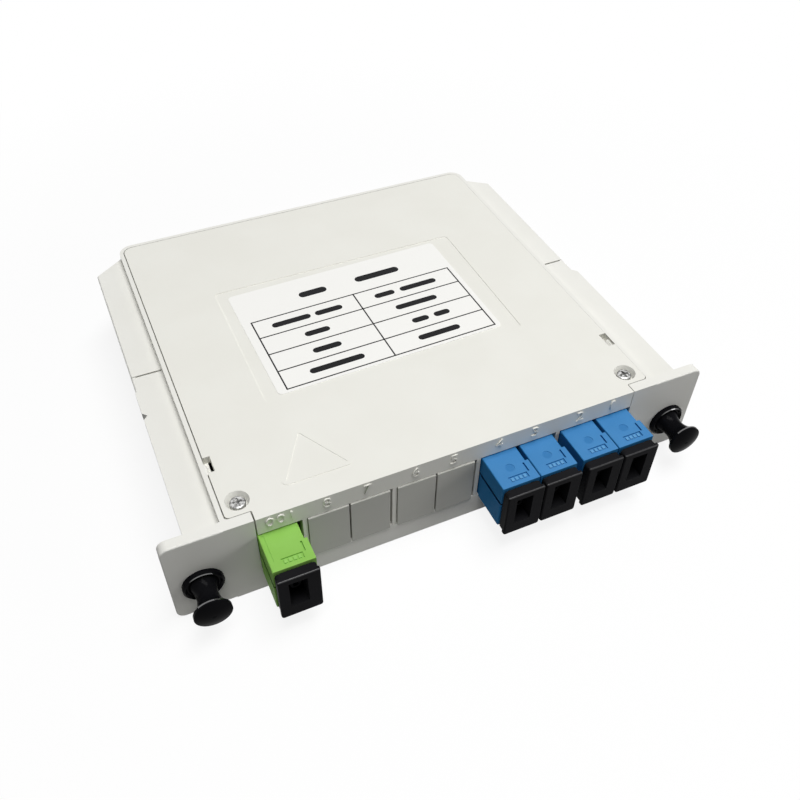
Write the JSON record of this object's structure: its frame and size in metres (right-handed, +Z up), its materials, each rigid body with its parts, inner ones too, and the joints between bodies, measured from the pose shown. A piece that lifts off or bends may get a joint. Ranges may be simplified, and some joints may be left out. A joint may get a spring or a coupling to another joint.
{
  "type": "plc fibre splitter",
  "caption": "Plug-in optical splitter cassette with capped adapters, blanked port places and push-pull latches on its front panel.",
  "frame": {"origin": "middle of the footprint, on the bottom face of the tray, with the caps on and the latches pushed in", "axes": "+X to the right along the front panel as seen from the front, +Y to the rear of the housing, +Z up out of the cover"},
  "size_m": [0.13, 0.1152, 0.0241],
  "materials": {
    "tray_plastic": "satin off-white moulding",
    "cover_plastic": "satin off-white moulding",
    "label_film": "matt white film",
    "screw_steel": "bright plated",
    "latch_nylon": "glossy black",
    "boot_rubber": "matt black",
    "blank_plastic": "satin grey-white moulding",
    "adapter_green": "satin green",
    "adapter_blue": "satin blue",
    "cap_plastic": "satin black",
    "plug_plastic": "satin white",
    "ceramic": "polished zirconia",
    "fibre_jacket": "smooth yellow jacket",
    "case_steel": "brushed"
  },
  "bodies": {
    "housing": {"base_tray": "tray_plastic", "top_cover": "cover_plastic", "cover_label": "label_film", "cover_screw_left": "screw_steel", "latch_grommet_left": "latch_nylon", "case_boot_left": "boot_rubber", "cover_screw_right": "screw_steel", "latch_grommet_right": "latch_nylon", "case_boot_right": "boot_rubber", "port_blank_8": "blank_plastic", "port_blank_7": "blank_plastic", "port_blank_6": "blank_plastic", "port_blank_5": "blank_plastic", "adapter_input": "adapter_green", "split_sleeve_input": "ceramic", "inner_plug_input": "plug_plastic", "plug_ferrule_input": "ceramic", "lead_fibre_input": "fibre_jacket", "adapter_4": "adapter_blue", "split_sleeve_4": "ceramic", "inner_plug_4": "plug_plastic", "plug_ferrule_4": "ceramic", "lead_fibre_4": "fibre_jacket", "adapter_3": "adapter_blue", "split_sleeve_3": "ceramic", "inner_plug_3": "plug_plastic", "plug_ferrule_3": "ceramic", "lead_fibre_3": "fibre_jacket", "adapter_2": "adapter_blue", "split_sleeve_2": "ceramic", "inner_plug_2": "plug_plastic", "plug_ferrule_2": "ceramic", "lead_fibre_2": "fibre_jacket", "adapter_1": "adapter_blue", "split_sleeve_1": "ceramic", "inner_plug_1": "plug_plastic", "plug_ferrule_1": "ceramic", "lead_fibre_1": "fibre_jacket", "splitter_case": "case_steel"},
    "cap_input": {"dust_cap_input": "cap_plastic"},
    "cap_4": {"dust_cap_4": "cap_plastic"},
    "cap_3": {"dust_cap_3": "cap_plastic"},
    "cap_2": {"dust_cap_2": "cap_plastic"},
    "cap_1": {"dust_cap_1": "cap_plastic"},
    "plunger_left": {"latch_plunger_left": "latch_nylon"},
    "plunger_right": {"latch_plunger_right": "latch_nylon"}
  },
  "joints": [
    {"name": "cap_pull_input", "type": "slide", "parent": "housing", "child": "cap_input", "axis": [0, -1, 0], "range_m": [0, 0.012]},
    {"name": "cap_pull_4", "type": "slide", "parent": "housing", "child": "cap_4", "axis": [0, -1, 0], "range_m": [0, 0.012]},
    {"name": "cap_pull_3", "type": "slide", "parent": "housing", "child": "cap_3", "axis": [0, -1, 0], "range_m": [0, 0.012]},
    {"name": "cap_pull_2", "type": "slide", "parent": "housing", "child": "cap_2", "axis": [0, -1, 0], "range_m": [0, 0.012]},
    {"name": "cap_pull_1", "type": "slide", "parent": "housing", "child": "cap_1", "axis": [0, -1, 0], "range_m": [0, 0.012]},
    {"name": "plunger_pull_left", "type": "slide", "parent": "housing", "child": "plunger_left", "axis": [0, -1, 0], "range_m": [0, 0.005]},
    {"name": "plunger_pull_right", "type": "slide", "parent": "housing", "child": "plunger_right", "axis": [0, -1, 0], "range_m": [0, 0.005]}
  ]
}
